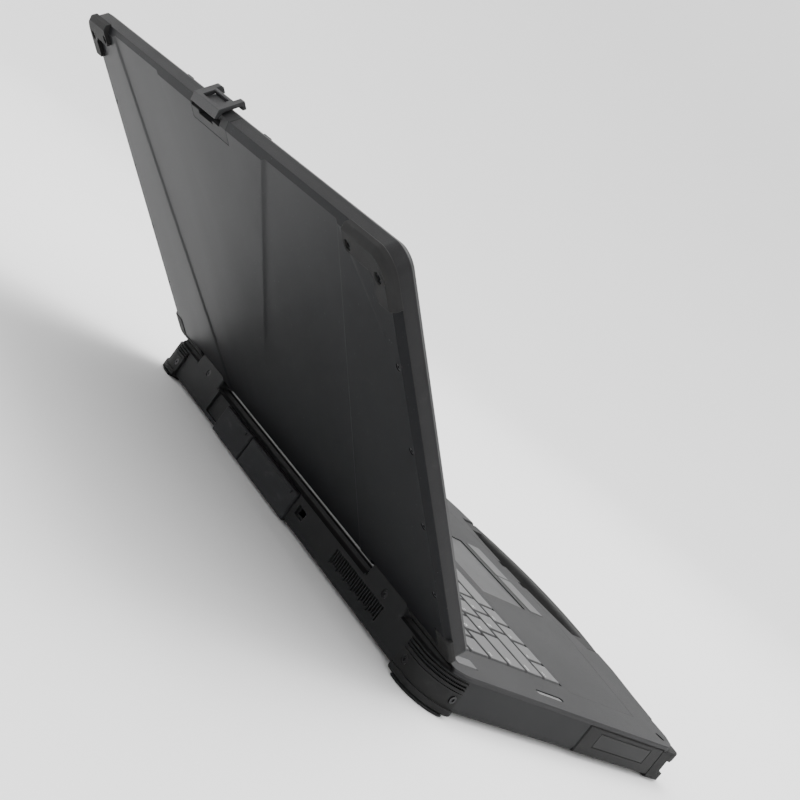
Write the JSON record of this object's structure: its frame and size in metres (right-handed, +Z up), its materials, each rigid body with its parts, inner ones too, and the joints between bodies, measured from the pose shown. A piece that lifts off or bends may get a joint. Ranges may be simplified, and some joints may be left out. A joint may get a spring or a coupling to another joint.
{
  "type": "laptop computer",
  "caption": "Rugged notebook computer with rubber corners, front carrying handle, hinged lid with latch, keyboard, touchpad, port doors and a pull-out battery.",
  "frame": {"origin": "on the underside of the case, below the middle of the deck between its side faces", "axes": "+X to the user's right, +Y to the hinge side at the rear, +Z up"},
  "size_m": [0.4046, 0.4934, 0.1977],
  "materials": {
    "case_plastic": "fine moulded texture",
    "deck_plastic": "fine moulded texture",
    "bezel_plastic": "satin moulded",
    "lid_paint": "satin powder coat",
    "key_plastic": "matte caps with printed legends",
    "button_plastic": "satin",
    "touchpad_surface": "smooth satin",
    "corner_rubber": "matte moulded",
    "door_rubber": "matte moulded",
    "handle_rubber": "matte moulded",
    "latch_plastic": "satin moulded",
    "screw_steel": "blackened",
    "hinge_steel": "brushed",
    "battery_plastic": "fine moulded texture",
    "label_sheet": "satin film",
    "window_plastic": "smoked",
    "screen_glass": "anti-glare",
    "panel_film": "dark display film",
    "camera_gloss": "gloss",
    "board": "solder mask",
    "fan_plastic": "moulded",
    "sink_metal": "bare fins",
    "pipe_metal": "copper coloured, satin",
    "connector_metal": "plated",
    "module_case": "anodised"
  },
  "bodies": {
    "base": {"bottom_cover": "case_plastic", "bumper_front_left": "corner_rubber", "bumper_front_right": "corner_rubber", "bumper_rear_left": "corner_rubber", "bumper_rear_right": "corner_rubber", "bumper_screws": "screw_steel", "carry_handle": "handle_rubber", "case_screws": "screw_steel", "drive_bay_cover": "case_plastic", "drive_bay_screws": "screw_steel", "drive_module": "module_case", "fan_housing": "fan_plastic", "heat_pipe": "pipe_metal", "heat_sink": "sink_metal", "hinge_brackets": "hinge_steel", "hinge_hood_left": "case_plastic", "hinge_hood_right": "case_plastic", "hinge_screws": "screw_steel", "keyboard_tray": "case_plastic", "middle_case": "case_plastic", "motherboard": "board", "palm_rest_plate": "deck_plastic", "port_connectors": "connector_metal", "speakers": "module_case", "status_window": "window_plastic", "top_case": "deck_plastic", "touchpad": "touchpad_surface"},
    "lid": {"camera_module": "camera_gloss", "display_panel": "panel_film", "hinge_arms": "hinge_steel", "latch_mount": "case_plastic", "latch_pin": "hinge_steel", "lid_back_cover": "lid_paint", "lid_bumper_left": "corner_rubber", "lid_bumper_right": "corner_rubber", "lid_cap_left": "corner_rubber", "lid_cap_right": "corner_rubber", "lid_cap_screws": "screw_steel", "lid_seal": "corner_rubber", "lid_side_screws": "screw_steel", "screen_bezel": "bezel_plastic", "screen_glass": "screen_glass"},
    "latch": {"latch_lever": "latch_plastic"},
    "battery": {"battery_pack": "battery_plastic", "battery_label_plate": "label_sheet"},
    "door_left": {"port_door_left": "door_rubber"},
    "door_right": {"port_door_right": "door_rubber"},
    "door_side": {"port_door_side": "door_rubber"},
    "pad_button_left": {"touchpad_button_left": "button_plastic"},
    "pad_button_right": {"touchpad_button_right": "button_plastic"},
    "power": {"power_button": "button_plastic"},
    "fan": {"fan_rotor": "fan_plastic"},
    "keys_bottom": {"keys_bottom": "key_plastic"},
    "keys_lower": {"keys_lower": "key_plastic"},
    "keys_home": {"keys_home": "key_plastic"},
    "keys_upper": {"keys_upper": "key_plastic"},
    "keys_number": {"keys_number": "key_plastic"},
    "keys_function": {"keys_function": "key_plastic"},
    "keys_numpad": {"keys_numpad": "key_plastic"}
  },
  "joints": [
    {"name": "lid_hinge", "type": "hinge", "parent": "base", "child": "lid", "pos_m": [0, 0.1216, 0.0303], "axis": [1, 0, 0], "range_deg": [-8.4, 141.54]},
    {"name": "latch_pivot", "type": "hinge", "parent": "lid", "child": "latch", "pos_m": [0, 0.31335, 0.18184], "axis": [1, 0, 0], "range_deg": [-24, 0], "stiffness_Nm_per_rad": 0.05},
    {"name": "battery_slide", "type": "slide", "parent": "base", "child": "battery", "axis": [-1, 0, 0], "range_m": [0, 0.125]},
    {"name": "door_left_hinge", "type": "hinge", "parent": "base", "child": "door_left", "pos_m": [0.0095, 0.1285, 0.0005], "axis": [1, 0, 0], "range_deg": [-90, 0]},
    {"name": "door_right_hinge", "type": "hinge", "parent": "base", "child": "door_right", "pos_m": [0.0674, 0.1285, 0.0005], "axis": [1, 0, 0], "range_deg": [-90, 0]},
    {"name": "door_side_hinge", "type": "hinge", "parent": "base", "child": "door_side", "pos_m": [0.1992, 0.043, 0.0044], "axis": [0, 1, 0], "range_deg": [0, 90]},
    {"name": "pad_button_left_press", "type": "slide", "parent": "base", "child": "pad_button_left", "axis": [0, 0, -1], "range_m": [0, 0.0007], "stiffness_N_per_m": 400},
    {"name": "pad_button_right_press", "type": "slide", "parent": "base", "child": "pad_button_right", "axis": [0, 0, -1], "range_m": [0, 0.0007], "stiffness_N_per_m": 400},
    {"name": "power_press", "type": "slide", "parent": "base", "child": "power", "axis": [0, 0, -1], "range_m": [0, 0.0008], "stiffness_N_per_m": 600},
    {"name": "keys_bottom_press", "type": "slide", "parent": "base", "child": "keys_bottom", "axis": [0, 0, -1], "range_m": [0, 0.0014], "stiffness_N_per_m": 800},
    {"name": "keys_lower_press", "type": "slide", "parent": "base", "child": "keys_lower", "axis": [0, 0, -1], "range_m": [0, 0.0014], "stiffness_N_per_m": 800},
    {"name": "keys_home_press", "type": "slide", "parent": "base", "child": "keys_home", "axis": [0, 0, -1], "range_m": [0, 0.0014], "stiffness_N_per_m": 800},
    {"name": "keys_upper_press", "type": "slide", "parent": "base", "child": "keys_upper", "axis": [0, 0, -1], "range_m": [0, 0.0014], "stiffness_N_per_m": 800},
    {"name": "keys_number_press", "type": "slide", "parent": "base", "child": "keys_number", "axis": [0, 0, -1], "range_m": [0, 0.0014], "stiffness_N_per_m": 800},
    {"name": "keys_function_press", "type": "slide", "parent": "base", "child": "keys_function", "axis": [0, 0, -1], "range_m": [0, 0.0014], "stiffness_N_per_m": 800},
    {"name": "keys_numpad_press", "type": "slide", "parent": "base", "child": "keys_numpad", "axis": [0, 0, -1], "range_m": [0, 0.0014], "stiffness_N_per_m": 800},
    {"name": "fan_spin", "type": "hinge", "parent": "base", "child": "fan", "pos_m": [-0.112, 0.086, 0.0095], "axis": [0, 0, 1], "continuous": true}
  ]
}
